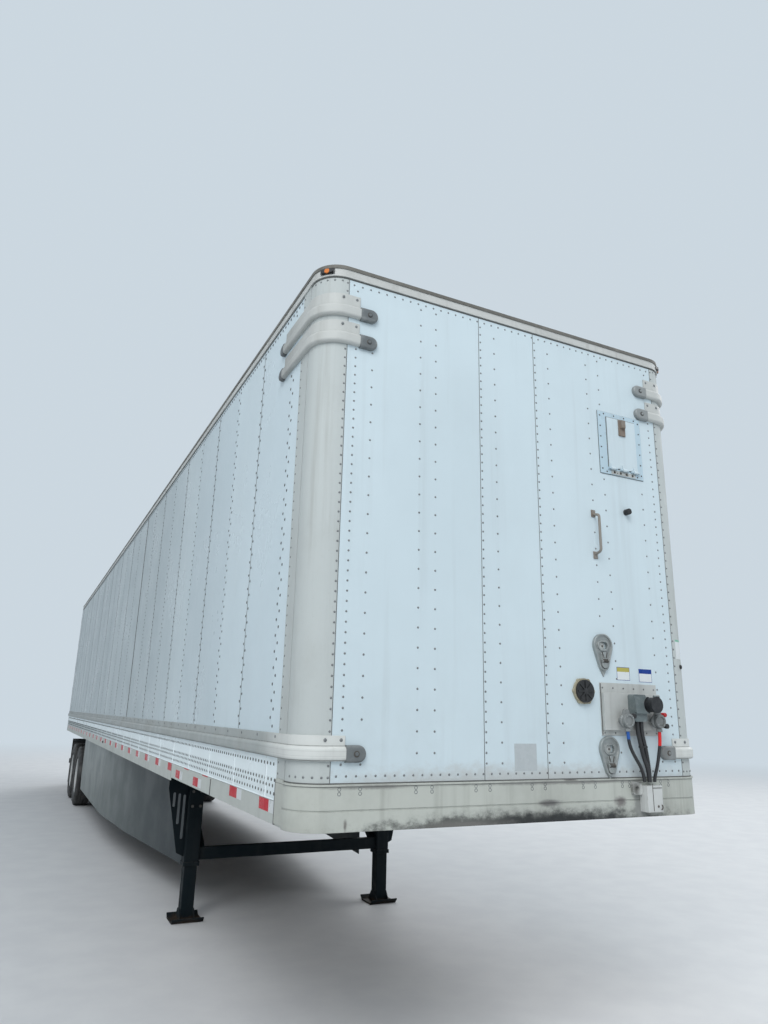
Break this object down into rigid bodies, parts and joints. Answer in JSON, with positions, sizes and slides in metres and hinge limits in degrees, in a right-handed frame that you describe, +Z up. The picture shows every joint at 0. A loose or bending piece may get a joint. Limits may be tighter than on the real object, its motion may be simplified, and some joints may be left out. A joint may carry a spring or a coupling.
{
  "type": "semi trailer",
  "caption": "Dry van semi trailer with riveted walls, sliding tandem with dual wheels, landing legs, skirts and swing rear doors.",
  "frame": {"origin": "on the ground under the middle of the trailer", "axes": "+Z up, +Y from the nose to the rear doors, +X to the road side, -X to the kerb side"},
  "size_m": [2.6, 16.3435, 4.115],
  "materials": {
    "white_panel": "glossy white coil-coated sheet",
    "rail_aluminium": "weathered extruded aluminium, dull",
    "cast_grey": "grey painted casting",
    "galvanised": "galvanised steel, dull",
    "black_steel": "black chassis paint, dusty",
    "deck_wood": "laminated hardwood floor",
    "skirt_panel": "pale grey composite, dirty",
    "tyre": "black rubber",
    "rim_white": "white painted steel disc wheel, dirty",
    "rubber_black": "black rubber",
    "hose_blue": "black rubber hose with a blue end sleeve",
    "hose_red": "black rubber hose with a red end sleeve",
    "amber_lens": "amber lens",
    "red_lens": "red lens",
    "port_black": "black moulded cap on a tan ring",
    "rusty_steel": "rusty steel",
    "pan_grey": "light grey painted pan"
  },
  "bodies": {
    "trailer": {"axles": "black_steel", "brake_chambers": "black_steel", "corner_posts": "rail_aluminium", "corner_rails": "rail_aluminium", "crossmembers": "black_steel", "electrical_socket": "cast_grey", "emergency_line": "hose_red", "floor": "deck_wood", "front_bottom_rail": "rail_aluminium", "front_top_rail": "rail_aluminium", "front_wall": "white_panel", "glad_hands": "cast_grey", "grab_handle": "rusty_steel", "harness_cable": "rubber_black", "harness_conduit": "rubber_black", "impact_guard": "black_steel", "landing_braces": "black_steel", "landing_crank": "black_steel", "landing_feet": "black_steel", "landing_legs": "black_steel", "leaf_springs": "black_steel", "line_bracket": "galvanised", "marker_lamps": "amber_lens", "mud_flaps": "rubber_black", "pear_hooks": "cast_grey", "rail_end_caps": "cast_grey", "rear_frame": "galvanised", "roof": "white_panel", "round_port": "port_black", "rub_rails": "rail_aluminium", "rubber_bumper": "rubber_black", "service_line": "hose_blue", "service_panel": "pan_grey", "side_rails": "rail_aluminium", "side_skirts": "skirt_panel", "side_wall_kerb": "white_panel", "side_wall_road": "white_panel", "skirt_struts": "black_steel", "slider_frame": "black_steel", "slider_rails": "black_steel", "spring_hangers": "black_steel", "tail_lamps": "red_lens", "top_rails": "rail_aluminium", "upper_coupler": "black_steel", "vent_frame": "white_panel"},
    "wheels_front_kerb": {"tyres_front_kerb": "tyre", "rims_front_kerb": "rim_white"},
    "wheels_front_road": {"tyres_front_road": "tyre", "rims_front_road": "rim_white"},
    "wheels_rear_kerb": {"tyres_rear_kerb": "tyre", "rims_rear_kerb": "rim_white"},
    "wheels_rear_road": {"tyres_rear_road": "tyre", "rims_rear_road": "rim_white"},
    "rear_door_kerb": {"rear_door_kerb": "white_panel", "door_hardware_kerb": "galvanised"},
    "rear_door_road": {"rear_door_road": "white_panel", "door_hardware_road": "galvanised"},
    "vent_door": {"vent_door": "white_panel", "vent_latch": "rusty_steel"}
  },
  "joints": [
    {"name": "wheels_front_kerb_spin", "type": "hinge", "parent": "trailer", "child": "wheels_front_kerb", "pos_m": [-0.984, 3.784, 0.508], "axis": [1, 0, 0], "continuous": true},
    {"name": "wheels_front_road_spin", "type": "hinge", "parent": "trailer", "child": "wheels_front_road", "pos_m": [0.984, 3.784, 0.508], "axis": [1, 0, 0], "continuous": true},
    {"name": "wheels_rear_kerb_spin", "type": "hinge", "parent": "trailer", "child": "wheels_rear_kerb", "pos_m": [-0.984, 5.029, 0.508], "axis": [1, 0, 0], "continuous": true},
    {"name": "wheels_rear_road_spin", "type": "hinge", "parent": "trailer", "child": "wheels_rear_road", "pos_m": [0.984, 5.029, 0.508], "axis": [1, 0, 0], "continuous": true},
    {"name": "rear_door_kerb_swing", "type": "hinge", "parent": "trailer", "child": "rear_door_kerb", "pos_m": [-1.263, 8.101, 2.6], "axis": [0, 0, 1], "range_deg": [0, 255]},
    {"name": "rear_door_road_swing", "type": "hinge", "parent": "trailer", "child": "rear_door_road", "pos_m": [1.263, 8.101, 2.6], "axis": [0, 0, -1], "range_deg": [0, 255]},
    {"name": "vent_door_swing", "type": "hinge", "parent": "trailer", "child": "vent_door", "pos_m": [0.813, -8.094, 3.246], "axis": [1, 0, 0], "range_deg": [0, 160]}
  ]
}
